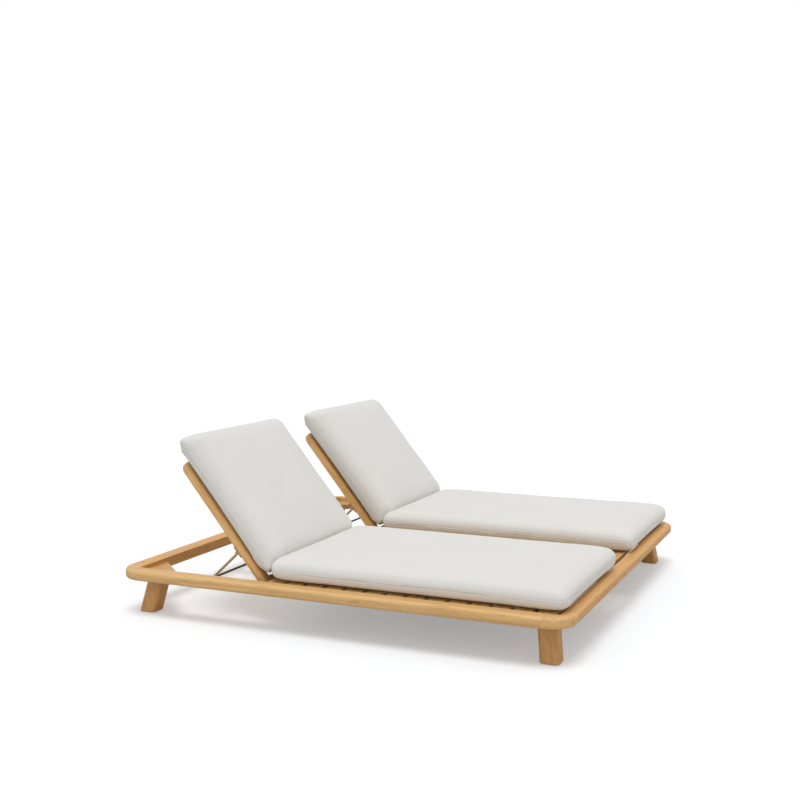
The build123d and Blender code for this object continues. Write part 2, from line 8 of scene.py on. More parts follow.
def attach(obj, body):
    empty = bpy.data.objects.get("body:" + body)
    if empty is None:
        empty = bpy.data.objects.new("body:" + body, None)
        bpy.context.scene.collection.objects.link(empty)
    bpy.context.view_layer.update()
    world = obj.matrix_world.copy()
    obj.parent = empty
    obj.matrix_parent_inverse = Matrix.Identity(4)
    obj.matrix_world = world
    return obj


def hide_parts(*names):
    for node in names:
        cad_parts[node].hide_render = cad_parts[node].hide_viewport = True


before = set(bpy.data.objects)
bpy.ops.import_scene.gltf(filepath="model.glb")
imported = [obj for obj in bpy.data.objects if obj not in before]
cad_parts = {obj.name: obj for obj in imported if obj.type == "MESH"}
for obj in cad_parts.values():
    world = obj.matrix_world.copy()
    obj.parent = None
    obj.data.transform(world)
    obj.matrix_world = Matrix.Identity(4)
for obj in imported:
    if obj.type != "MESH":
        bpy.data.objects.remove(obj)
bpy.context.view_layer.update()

SIDES = ("near", "far")
# The backrests lean back from the deck by this much at rest.
RECLINE = math.radians(50.65)
# Along a backrest from its hinge to its top, across it, and out of its front.
ALONG_BACK = Vector((-math.cos(RECLINE), 0.0, math.sin(RECLINE)))
ACROSS_BACK = Vector((0.0, -1.0, 0.0))
OUT_OF_BACK = Vector((math.sin(RECLINE), 0.0, math.cos(RECLINE)))


def deselect_all():
    if bpy.context.object and bpy.context.object.mode != "OBJECT":
        bpy.ops.object.mode_set(mode="OBJECT")
    bpy.ops.object.select_all(action="DESELECT")


def make_active(obj):
    deselect_all()
    obj.select_set(True)
    bpy.context.view_layer.objects.active = obj


# ---- Colours and nodes ----


def hex_colour(text):
    """An sRGB hex colour as linear red, green, blue and alpha."""
    def linear(share):
        return share / 12.92 if share <= 0.04045 else ((share + 0.055) / 1.055) ** 2.4
    channels = [linear(int(text[i:i + 2], 16) / 255) for i in (1, 3, 5)]
    return (*channels, 1.0)


def add_node(tree, kind, sockets=None, **settings):
    """Adds a node, sets its options, and fills its input sockets or links them to other nodes."""
    node = tree.nodes.new(kind)
    for key, value in settings.items():
        setattr(node, key, value)
    for key, value in (sockets or {}).items():
        if isinstance(value, bpy.types.Node):
            value = value.outputs[0]
        if isinstance(value, bpy.types.NodeSocket):
            tree.links.new(value, node.inputs[key])
        else:
            node.inputs[key].default_value = value
    return node


def new_material(name):
    material = bpy.data.materials.new(name)
    material.use_nodes = True
    tree = material.node_tree
    tree.nodes.clear()
    return material, tree


def finish_surface(tree, shader):
    add_node(tree, "ShaderNodeOutputMaterial", {"Surface": shader.outputs[0]})


# The sockets of a Mix node that blends colours: its share, its two colours and its result.
SHARE, FIRST, SECOND, BLEND = 0, 6, 7, 2


# ---- Teak ----

# Straight-grained plantation teak, planed, sanded and lightly oiled: honey gold with browner
# growth rings a few millimetres apart, fine open pores as short dark dashes, a satin surface.
TEAK_LIGHT = "#E2B97D"
TEAK_MIDDLE = "#D8AB6B"
TEAK_DARK = "#B47E42"
TEAK_PORE = "#875A2B"
RING_SPACING_MM = 19.0
PORE_WIDTH_MM = 1.6
# A wave texture of scale 1 runs through this many radians in each metre.
WAVE_RATE = 20.0


def teak(name, turn=(0.0, 0.0, 0.0), shift=(0.0, 0.0, 0.0), board_mm=0.0, tone=1.0, stain="#FFFFFF"):
    """Teak whose grain runs along the direction that the turn brings to x."""
    material, tree = new_material(name)
    place = add_node(tree, "ShaderNodeTexCoord").outputs["Object"]
    along = add_node(tree, "ShaderNodeMapping", {"Vector": place, "Rotation": turn, "Location": shift})
    # Growth rings run far along the board and change little; a slow noise bends them into
    # the long arches of a flat-sawn face.
    rings_at = add_node(
        tree,
        "ShaderNodeMapping",
        {"Vector": along.outputs[0], "Rotation": (0.6, 0.0, 0.0)},
    )
    long_at = add_node(
        tree,
        "ShaderNodeMapping",
        {"Vector": rings_at.outputs[0], "Scale": (0.07, 1.0, 1.0)},
    )
    drift = add_node(
        tree,
        "ShaderNodeTexNoise",
        {"Vector": long_at.outputs[0], "Scale": 7.0, "Detail": 2.0},
    )
    bend = add_node(
        tree,
        "ShaderNodeVectorMath",
        {0: drift.outputs["Color"], 1: (0.0, 0.10, 0.10)},
        operation="MULTIPLY",
    )
    bent = add_node(
        tree,
        "ShaderNodeVectorMath",
        {0: long_at.outputs[0], 1: bend.outputs[0]},
        operation="ADD",
    )
    rings = add_node(
        tree,
        "ShaderNodeTexWave",
        {
            "Vector": bent.outputs[0],
            "Scale": math.tau / (WAVE_RATE * RING_SPACING_MM / 1000),
            "Distortion": 1.5,
            "Detail": 2.0,
            "Detail Scale": 2.0,
        },
        wave_type="BANDS",
        bands_direction="Y",
        wave_profile="SAW",
    )
    ring_ramp = add_node(tree, "ShaderNodeValToRGB", {"Fac": rings.outputs["Fac"]})
    ring_ramp.color_ramp.elements[0].position = 0.0
    ring_ramp.color_ramp.elements[0].color = hex_colour(TEAK_LIGHT)
    ring_ramp.color_ramp.elements[1].position = 1.0
    ring_ramp.color_ramp.elements[1].color = hex_colour(TEAK_MIDDLE)
    # Patches of browner heartwood, tens of millimetres wide and up to a metre long.
    patches = add_node(
        tree,
        "ShaderNodeTexNoise",
        {"Vector": bent.outputs[0], "Scale": 22.0, "Detail": 4.0},
    )
    patch_share = add_node(
        tree,
        "ShaderNodeMapRange",
        {
            "Value": patches.outputs["Fac"],
            "From Min": 0.48,
            "From Max": 0.78,
            "To Min": 0.0,
            "To Max": 0.45,
        },
    )
    patched = add_node(
        tree,
        "ShaderNodeMix",
        {SHARE: patch_share, FIRST: ring_ramp, SECOND: hex_colour(TEAK_DARK)},
        data_type="RGBA",
    )
    # Pores: dashes a millimetre or two wide and about 40 mm long.
    pores_at = add_node(
        tree,
        "ShaderNodeMapping",
        {"Vector": along.outputs[0], "Scale": (0.04, 1.0, 1.0)},
    )
    pores = add_node(
        tree,
        "ShaderNodeTexNoise",
        {"Vector": pores_at.outputs[0], "Scale": 1000 / (2 * PORE_WIDTH_MM), "Detail": 1.0},
    )
    pore_share = add_node(
        tree,
        "ShaderNodeMapRange",
        {
            "Value": pores.outputs["Fac"],
            "From Min": 0.60,
            "From Max": 0.72,
            "To Min": 0.0,
            "To Max": 0.38,
        },
    )
    open_grained = add_node(
        tree,
        "ShaderNodeMix",
        {SHARE: pore_share, FIRST: patched.outputs[BLEND], SECOND: hex_colour(TEAK_PORE)},
        data_type="RGBA",
    )
    # Each board comes from its own plank, a shade lighter or darker than the next.
    if board_mm:
        apart = add_node(tree, "ShaderNodeSeparateXYZ", {0: place})
        boards = add_node(
            tree,
            "ShaderNodeMath",
            {0: apart.outputs["X"], 1: board_mm / 1000},
            operation="DIVIDE",
        )
        board = add_node(tree, "ShaderNodeMath", {0: boards}, operation="FLOOR")
        chance = add_node(tree, "ShaderNodeTexWhiteNoise", {"W": board}, noise_dimensions="1D")
    else:
        chance = add_node(
            tree,
            "ShaderNodeTexNoise",
            {"Vector": long_at.outputs[0], "Scale": 2.3, "Detail": 0.0},
        )
    # The tone scales the whole piece; on the deck slats it is painted shade and on the backrest rails
    # painted light.
    shade = add_node(
        tree,
        "ShaderNodeMapRange",
        {
            "Value": chance.outputs[0],
            "From Min": 0.0,
            "From Max": 1.0,
            "To Min": 0.9 * tone,
            "To Max": 1.06 * tone,
        },
    )
    shaded = add_node(
        tree,
        "ShaderNodeMix",
        {SHARE: 1.0, FIRST: open_grained.outputs[BLEND], SECOND: shade},
        data_type="RGBA",
        blend_type="MULTIPLY",
    )
    colour = add_node(
        tree,
        "ShaderNodeMix",
        {SHARE: 1.0, FIRST: shaded.outputs[BLEND], SECOND: hex_colour(stain)},
        data_type="RGBA",
        blend_type="MULTIPLY",
    )
    rough = add_node(
        tree,
        "ShaderNodeMapRange",
        {
            "Value": pores.outputs["Fac"],
            "From Min": 0.4,
            "From Max": 0.75,
            "To Min": 0.46,
            "To Max": 0.62,
        },
    )
    ridges = add_node(tree, "ShaderNodeMath", {0: rings.outputs["Fac"], 1: 0.25}, operation="MULTIPLY")
    height = add_node(tree, "ShaderNodeMath", {0: ridges, 1: pore_share}, operation="SUBTRACT")
    bump = add_node(tree, "ShaderNodeBump", {"Height": height, "Strength": 0.25, "Distance": 0.0006})
    shader = add_node(
        tree,
        "ShaderNodeBsdfPrincipled",
        {"Base Color": colour.outputs[BLEND], "Roughness": rough, "Normal": bump, "IOR": 1.5},
    )
    finish_surface(tree, shader)
    return material


# ---- Metals and plastic ----


def coated_metal(name, colour, roughness, speck):
    """Fine-textured powder coat on steel: matte, with a faint orange-peel surface."""
    material, tree = new_material(name)
    place = add_node(tree, "ShaderNodeTexCoord").outputs["Object"]
    peel = add_node(tree, "ShaderNodeTexNoise", {"Vector": place, "Scale": 900.0, "Detail": 2.0})
    shade = add_node(
        tree,
        "ShaderNodeMix",
        {SHARE: peel.outputs["Fac"], FIRST: hex_colour(colour), SECOND: hex_colour(speck)},
        data_type="RGBA",
    )
    bump = add_node(
        tree,
        "ShaderNodeBump",
        {"Height": peel.outputs["Fac"], "Strength": 0.15, "Distance": 0.0002},
    )
    shader = add_node(
        tree,
        "ShaderNodeBsdfPrincipled",
        {"Base Color": shade.outputs[BLEND], "Metallic": 0.35, "Roughness": roughness, "Normal": bump},
    )
    finish_surface(tree, shader)
    return material


def brushed_stainless(name):
    """Stainless screws, bolts and pins: drawn and turned, with fine lines round the axis."""
    material, tree = new_material(name)
    place = add_node(tree, "ShaderNodeTexCoord").outputs["Object"]
    lines_at = add_node(tree, "ShaderNodeMapping", {"Vector": place, "Scale": (1.0, 12.0, 12.0)})
    lines = add_node(
        tree,
        "ShaderNodeTexNoise",
        {"Vector": lines_at.outputs[0], "Scale": 160.0, "Detail": 3.0},
    )
    shade = add_node(
        tree,
        "ShaderNodeMix",
        {SHARE: lines.outputs["Fac"], FIRST: hex_colour("#C9C7C2"), SECOND: hex_colour("#A9A6A0")},
        data_type="RGBA",
    )
    rough = add_node(
        tree,
        "ShaderNodeMapRange",
        {"Value": lines.outputs["Fac"], "To Min": 0.24, "To Max": 0.42},
    )
    shader = add_node(
        tree,
        "ShaderNodeBsdfPrincipled",
        {"Base Color": shade.outputs[BLEND], "Metallic": 1.0, "Roughness": rough},
    )
    finish_surface(tree, shader)
    return material


def moulded_nylon(name):
    """Black moulded nylon glides: dull, faintly grained by the mould."""
    material, tree = new_material(name)
    place = add_node(tree, "ShaderNodeTexCoord").outputs["Object"]
    grain = add_node(tree, "ShaderNodeTexNoise", {"Vector": place, "Scale": 700.0, "Detail": 2.0})
    shade = add_node(
        tree,
        "ShaderNodeMix",
        {SHARE: grain.outputs["Fac"], FIRST: hex_colour("#262422"), SECOND: hex_colour("#34312E")},
        data_type="RGBA",
    )
    bump = add_node(
        tree,
        "ShaderNodeBump",
        {"Height": grain.outputs["Fac"], "Strength": 0.2, "Distance": 0.0002},
    )
    shader = add_node(
        tree,
        "ShaderNodeBsdfPrincipled",
        {"Base Color": shade.outputs[BLEND], "Roughness": 0.6, "Normal": bump},
    )
    finish_surface(tree, shader)
    return material


# ---- Outdoor canvas ----

# Woven solution-dyed acrylic canvas, off-white: matte with a soft sheen, a plain weave of slightly
# uneven yarns. The real yarns lie 0.7 mm apart; they are drawn 3.2 mm apart so that they show.
YARN_SPACING_MM = 3.2


def canvas(name, warm="#DFDDD9", cool="#E4E3E0"):
    """Off-white canvas; its weave follows the cloth_map UV, which is in metres along the cloth."""
    material, tree = new_material(name)
    cloth = add_node(tree, "ShaderNodeUVMap", uv_map="cloth_map").outputs[0]
    apart = add_node(tree, "ShaderNodeSeparateXYZ", {0: cloth})
    turns = math.tau / (2 * YARN_SPACING_MM / 1000)
    yarns = []
    for way in ("X", "Y"):
        turned = add_node(
            tree,
            "ShaderNodeMath",
            {0: apart.outputs[way], 1: turns},
            operation="MULTIPLY",
        )
        yarns.append(add_node(tree, "ShaderNodeMath", {0: turned}, operation="SINE"))
    weave = add_node(tree, "ShaderNodeMath", {0: yarns[0], 1: yarns[1]}, operation="MULTIPLY")
    # Slubs: thicker stretches of yarn, some 60 mm long, both ways of the cloth.
    slubs = []
    for scale in ((12.0, 320.0, 1.0), (320.0, 12.0, 1.0)):
        at = add_node(tree, "ShaderNodeMapping", {"Vector": cloth, "Scale": scale})
        slubs.append(add_node(tree, "ShaderNodeTexNoise", {"Vector": at, "Scale": 1.0, "Detail": 1.0}))
    slub = add_node(tree, "ShaderNodeMath", {0: slubs[0], 1: slubs[1]}, operation="ADD")
    slub_share = add_node(
        tree,
        "ShaderNodeMapRange",
        {"Value": slub, "From Min": 0.7, "From Max": 1.35, "To Min": 0.0, "To Max": 1.0},
    )
    cloud = add_node(tree, "ShaderNodeTexNoise", {"Vector": cloth, "Scale": 4.0, "Detail": 2.0})
    base = add_node(
        tree,
        "ShaderNodeMix",
        {SHARE: cloud, FIRST: hex_colour(warm), SECOND: hex_colour(cool)},
        data_type="RGBA",
    )
    thread = add_node(
        tree,
        "ShaderNodeMix",
        {SHARE: slub_share, FIRST: hex_colour("#F6F5F3"), SECOND: hex_colour("#E9E7E3")},
        data_type="RGBA",
    )
    slubbed = add_node(
        tree,
        "ShaderNodeMix",
        {SHARE: 0.22, FIRST: base.outputs[BLEND], SECOND: thread.outputs[BLEND]},
        data_type="RGBA",
        blend_type="MULTIPLY",
    )
    # The weave is painted a little darker where its yarns dip: painted shade in the hollows of the
    # weave.
    shade = add_node(
        tree,
        "ShaderNodeMapRange",
        {
            "Value": weave,
            "From Min": -1.0,
            "From Max": 1.0,
            "To Min": 0.975,
            "To Max": 1.0,
        },
    )
    colour = add_node(
        tree,
        "ShaderNodeMix",
        {SHARE: 1.0, FIRST: slubbed.outputs[BLEND], SECOND: shade},
        data_type="RGBA",
        blend_type="MULTIPLY",
    )
    crossings = add_node(tree, "ShaderNodeMath", {0: weave, 1: 0.5}, operation="MULTIPLY")
    height = add_node(tree, "ShaderNodeMath", {0: crossings, 1: slub}, operation="ADD")
    bump = add_node(tree, "ShaderNodeBump", {"Height": height, "Strength": 0.16, "Distance": 0.0006})
    shader = add_node(
        tree,
        "ShaderNodeBsdfPrincipled",
        {
            "Base Color": colour.outputs[BLEND],
            "Roughness": 0.9,
            "Normal": bump,
            "Specular IOR Level": 0.2,
            "Sheen Weight": 0.12,
            "Sheen Roughness": 0.5,
        },
    )
    finish_surface(tree, shader)
    return material


# ---- Cushions ----

# Lengths are in metres. The corner rounds the plan, the rims round the underside and the top. The
# pinch and the lift are shares of the distance to the seam; the sag's sign tells which end slumps.
CUSHION_FORMS = {
    "seat_cushion": {
        "crown": 0.016,
        "corner": 0.042,
        "low_rim": 0.038,
        "top_rim": 0.040,
        "seam_level": 0.048,
        "pinch": 0.09,
        "lift": 0.08,
        "sag": 0.005,
        "head_reach": 0.018,
        "seed": 2.0,
    },
    "back_cushion": {
        "crown": 0.024,
        "corner": 0.010,
        "low_rim": 0.042,
        "top_rim": 0.054,
        "seam_level": 0.046,
        "pinch": 0.55,
        "lift": 0.12,
        "sag": -0.028,
        "head_reach": 0.0,
        "seed": 9.0,
    },
}
# The top rises to its crown over this distance from the sides.
CROWN_RUN = 0.28
# The cover is cut this much smaller than the cushion, and its filling swells it by no more than the cap.
COVER_SLACK = 0.010
FILL_CAP = 0.009
FILL_STEPS = 20
COVER_MESH, QUICK_COVER_MESH = 0.0115, 0.016
# Small unevenness of a filled cover: of its top, of its folds, and of its rim as a share.
TOP_UNEVEN = 0.0010
FOLD_UNEVEN, CORNER_FOLD_UNEVEN = 0.0004, 0.0016
RIM_UNEVEN = 0.0012
# How far the ends and the long sides draw in between the corners, as shares.
END_DRAW_IN, SIDE_DRAW_IN = 0.004, 0.006
# The lower half is stretched by this factor and stopped at the plane it rests on, so it lies flat.
UNDERSIDE_PRESS = 1.04
# The seam: its strip of doubled cloth, the groove it draws in, and how far it strays from level.
SEAM_HALF_WIDTH = 0.0024
SEAM_GROOVE_WIDTH, SEAM_GROOVE_DEPTH = 0.0040, 0.0013
SEAM_WANDER = 0.003
SEAM_THICKNESS = 0.0007


def extent(name, axis):
    """Lowest and highest reach of a CAD piece along an axis."""
    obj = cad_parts[name]
    reaches = [axis.dot(obj.matrix_world @ vertex.co) for vertex in obj.data.vertices]
    return min(reaches), max(reaches)


def cushion_blank(name, size, corner, low_rim, top_rim):
    """A block with rounded corners and rims, lying on z = 0 and centred in plan."""
    deselect_all()
    bpy.ops.mesh.primitive_cube_add(size=1.0, location=(0.0, 0.0, size.z / 2))
    blank = bpy.context.object
    blank.name = name
    blank.scale = size
    bpy.ops.object.transform_apply(location=True, rotation=True, scale=True)
    bpy.ops.object.mode_set(mode="EDIT")
    bpy.ops.mesh.select_mode(type="EDGE")
    bpy.ops.mesh.select_all(action="DESELECT")
    select_edges(blank, lambda a, b: abs(a.z - b.z) > size.z / 2)
    bpy.ops.mesh.bevel(offset=corner, segments=8, affect="EDGES")
    for level, rim in ((0.0, low_rim), (size.z, top_rim)):
        bpy.ops.mesh.select_all(action="DESELECT")
        select_edges(blank, lambda a, b: abs(a.z - level) + abs(b.z - level) < 1e-5)
        bpy.ops.mesh.bevel(offset=rim, segments=8, affect="EDGES")
    bpy.ops.object.mode_set(mode="OBJECT")
    return blank


def select_edges(obj, wanted):
    mesh = bmesh.from_edit_mesh(obj.data)
    for edge in mesh.edges:
        edge.select_set(wanted(edge.verts[0].co, edge.verts[1].co))
    bmesh.update_edit_mesh(obj.data)


def apply_modifier(obj, kind, **settings):
    make_active(obj)
    modifier = obj.modifiers.new(kind.lower(), kind)
    for key, value in settings.items():
        setattr(modifier, key, value)
    bpy.ops.object.modifier_apply(modifier=modifier.name)


def fill_with_foam(obj, cap):
    """Swells the cover by cloth simulation under an even inner pressure, softly limited to a cap."""
    before = [v.co.copy() for v in obj.data.vertices]
    make_active(obj)
    cloth = obj.modifiers.new("cover", "CLOTH")
    settings = cloth.settings
    settings.quality = 5
    settings.mass = 0.3
    settings.tension_stiffness = 30.0
    settings.compression_stiffness = 30.0
    settings.shear_stiffness = 12.0
    settings.bending_stiffness = 1.5
    settings.use_pressure = True
    settings.uniform_pressure_force = 4.0
    settings.effector_weights.gravity = 0.0
    cloth.point_cache.frame_start = 1
    cloth.point_cache.frame_end = FILL_STEPS
    for step in range(1, FILL_STEPS + 1):
        bpy.context.scene.frame_set(step)
    bpy.ops.object.modifier_apply(modifier=cloth.name)
    bpy.context.scene.frame_set(1)
    for vertex, start in zip(obj.data.vertices, before):
        move = vertex.co - start
        if move.length > 1e-9:
            vertex.co = start + move.normalized() * cap * math.tanh(move.length / cap)


def crown_share(x, y, half):
    """How far the top has risen to its crown: 0 at the sides, 1 over the middle."""
    share = 1.0
    for at, reach in ((x, half.x), (y, half.y)):
        inward = min(1.0, max(0.0, (reach - abs(at)) / CROWN_RUN))
        share *= 1.0 - (1.0 - inward) ** 2
    return share


def near_edge(at, reach, share=0.18):
    """0 over the middle of a cushion, rising smoothly to 1 at its edge over this share of its reach."""
    part = min(1.0, max(0.0, (abs(at) / reach - 1.0 + share) / share))
    return part * part * (3.0 - 2.0 * part)


def settle_cover(obj, size, form):
    """Fits the filled cover to its size: flat where it rests, crowned on top, a little uneven.

    The underside lifts off along its long sides, the corners are pinched flat towards the seam, and
    one end, by the sign of the sag along x, slumps outwards under it."""
    points = [v.co for v in obj.data.vertices]
    low = Vector([min(point[i] for point in points) for i in range(3)])
    high = Vector([max(point[i] for point in points) for i in range(3)])
    middle = (low + high) / 2
    half = size / 2
    seam_level, sag, seed = form["seam_level"], form["sag"], form["seed"]
    for vertex in obj.data.vertices:
        x, y, z = ((vertex.co[i] - middle[i]) * size[i] / (high[i] - low[i]) for i in range(3))
        # The underside is pressed flat by the cushion's weight.
        z = half.z + (z if z > 0 else max(-half.z, z * UNDERSIDE_PRESS))
        above = min(1.0, max(0.0, z / half.z - 1.0))
        corner = near_edge(x, half.x) * near_edge(y, half.y)
        rim = max(near_edge(x, half.x), near_edge(y, half.y))
        soft = noise.noise(Vector((x * 4.0, y * 4.0, seed)))
        fold = noise.noise(Vector((x * 13.0, y * 13.0, seed + 7.0)))
        z += above * (form["crown"] * crown_share(x, y, half) + TOP_UNEVEN * soft)
        z += above * (FOLD_UNEVEN + CORNER_FOLD_UNEVEN * corner) * fold
        from_seam = z - seam_level
        if from_seam < 0.0:
            from_seam *= 1.0 - form["lift"] * near_edge(y, half.y)
            end = near_edge(x, half.x) if x * sag > 0.0 else 0.0
            x -= sag * end * (1.0 - 0.5 * near_edge(y, half.y)) * from_seam / seam_level
        z = seam_level + from_seam * (1.0 - form["pinch"] * corner)
        ripple = noise.noise(Vector((x * 9.0, y * 9.0, z * 16.0 + seed)))
        push = 1.0 + RIM_UNEVEN * ripple * rim
        # The sides draw in a little between the corners.
        drawn_x = 1.0 - END_DRAW_IN * (1.0 - (y / half.y) ** 2)
        drawn_y = 1.0 - SIDE_DRAW_IN * (1.0 - (x / half.x) ** 2)
        vertex.co = Vector((x * push * drawn_x, y * push * drawn_y, z))


def seam_wander(place):
    """A sewn seam isn't ruled: it wanders a few millimetres up and down the side."""
    return SEAM_WANDER * noise.noise(Vector((place.x * 4.0, place.y * 4.0, 3.0)))


def sew_seam(obj, level):
    """Pulls the cover in a little along the seam where its upper and lower panel meet."""
    for vertex in obj.data.vertices:
        away = (vertex.co.z - level - seam_wander(vertex.co)) / SEAM_GROOVE_WIDTH
        outward = Vector((vertex.normal.x, vertex.normal.y, 0.0))
        if abs(away) < 2.5 and outward.length > 0.3:
            vertex.co -= outward.normalized() * SEAM_GROOVE_DEPTH * math.exp(-away * away)


def lay_cloth_map(obj, bend):
    """UV in metres along the cloth: flat over the panels, unrolled over the rounded sides."""
    mesh = obj.data
    layer = mesh.uv_layers.new(name="cloth_map")
    places = []
    for vertex in mesh.vertices:
        tilt = math.acos(min(1.0, abs(vertex.normal.z)))
        outward = Vector((vertex.normal.x, vertex.normal.y))
        if outward.length > 1e-6:
            outward.normalize()
        spread = bend * (tilt - math.sin(tilt))
        places.append((vertex.co.x + outward.x * spread, vertex.co.y + outward.y * spread))
    for loop in mesh.loops:
        layer.data[loop.index].uv = places[loop.vertex_index]


def filled_cushion(name, size, form):
    """A finished cushion lying on z = 0, centred in plan."""
    cut = size - Vector((COVER_SLACK, COVER_SLACK, COVER_SLACK))
    cushion = cushion_blank(name, cut, form["corner"], form["low_rim"], form["top_rim"])
    voxel = COVER_MESH
    apply_modifier(cushion, "REMESH", mode="VOXEL", voxel_size=voxel)
    fill_with_foam(cushion, FILL_CAP)
    apply_modifier(cushion, "SMOOTH", factor=0.5, iterations=4)
    settle_cover(cushion, size, form)
    apply_modifier(cushion, "SUBSURF", levels=1, render_levels=1)
    bpy.ops.object.shade_smooth()
    sew_seam(cushion, form["seam_level"])
    lay_cloth_map(cushion, bend=size.z / 2)
    return cushion


def place_copy(original, name, matrix):
    """A copy with its own mesh, carried or mirrored to its place; the object stays at the origin."""
    copy = original.copy()
    copy.data = original.data.copy()
    copy.name = name
    copy.data.name = name
    copy.data.transform(matrix)
    if matrix.determinant() < 0.0:
        copy.data.flip_normals()
    copy.data.update()
    bpy.context.collection.objects.link(copy)
    return copy


def seam_strip(cushion, name, level):
    """The felled seam: a narrow band of doubled cloth round the cushion, standing just proud."""
    strip = cushion.copy()
    strip.data = cushion.data.copy()
    strip.name = name
    bpy.context.collection.objects.link(strip)
    for vertex in strip.data.vertices:
        vertex.co.z -= seam_wander(vertex.co)
    make_active(strip)
    bpy.ops.object.mode_set(mode="EDIT")
    for height, up in ((level + SEAM_HALF_WIDTH, 1.0), (level - SEAM_HALF_WIDTH, -1.0)):
        bpy.ops.mesh.select_all(action="SELECT")
        bpy.ops.mesh.bisect(plane_co=(0.0, 0.0, height), plane_no=(0.0, 0.0, up), clear_outer=True)
    bpy.ops.object.mode_set(mode="OBJECT")
    for vertex in strip.data.vertices:
        vertex.co.z += seam_wander(vertex.co)
    apply_modifier(strip, "SOLIDIFY", thickness=SEAM_THICKNESS, offset=1.0)
    return strip


def cushion_frame(axes, name, head_reach):
    """The place under the middle of a CAD cushion, with these axes, and the cushion's size.

    The head reach lengthens the cushion towards the low end of its first axis."""
    reaches = [extent(name, axis) for axis in axes]
    reaches[0] = (reaches[0][0] - head_reach, reaches[0][1])
    size = Vector([high - low for low, high in reaches])
    middle = [(low + high) / 2 for low, high in reaches]
    middle[2] = reaches[2][0]
    origin = sum((axis * at for axis, at in zip(axes, middle)), Vector())
    matrix = Matrix.Translation(origin) @ Matrix(axes).transposed().to_4x4()
    return matrix, size


def make_cushions():
    cover = canvas("woven_acrylic_canvas")
    # The seam strip is the same canvas, coloured darker than the cover: painted shade along the seam.
    seam_cover_painted_shade = canvas("woven_acrylic_canvas_seam_painted_shade", warm="#DAD6D0", cool="#DEDAD4")
    level_axes = (Vector((1.0, 0.0, 0.0)), Vector((0.0, 1.0, 0.0)), Vector((0.0, 0.0, 1.0)))
    back_axes = (ALONG_BACK, ACROSS_BACK, OUT_OF_BACK)
    for kind, form in CUSHION_FORMS.items():
        axes = level_axes if kind == "seat_cushion" else back_axes
        head_reach = form["head_reach"]
        size = cushion_frame(axes, f"near_{kind}", head_reach)[1] - Vector((0.0, 0.0, form["crown"]))
        pattern = filled_cushion(f"{kind}_pattern", size, form)
        seam_pattern = seam_strip(pattern, f"{kind}_seam_pattern", form["seam_level"])
        for side in SIDES:
            body = "platform" if kind == "seat_cushion" else f"{side}_backrest"
            facing = Matrix.Scale(1.0 if side == "near" else -1.0, 4, Vector((0.0, 1.0, 0.0)))
            place = cushion_frame(axes, f"{side}_{kind}", head_reach)[0] @ facing
            cushion = place_copy(pattern, f"{side}_{kind}_cover", place)
            strip = place_copy(seam_pattern, f"{side}_{kind}_seam", place)
            for piece, cloth in ((cushion, cover), (strip, seam_cover_painted_shade)):
                piece.data.materials.clear()
                piece.data.materials.append(cloth)
                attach(piece, body)
            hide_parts(f"{side}_{kind}")
        bpy.data.objects.remove(pattern, do_unlink=True)
        bpy.data.objects.remove(seam_pattern, do_unlink=True)


# ---- Finishes on the frame's own pieces ----


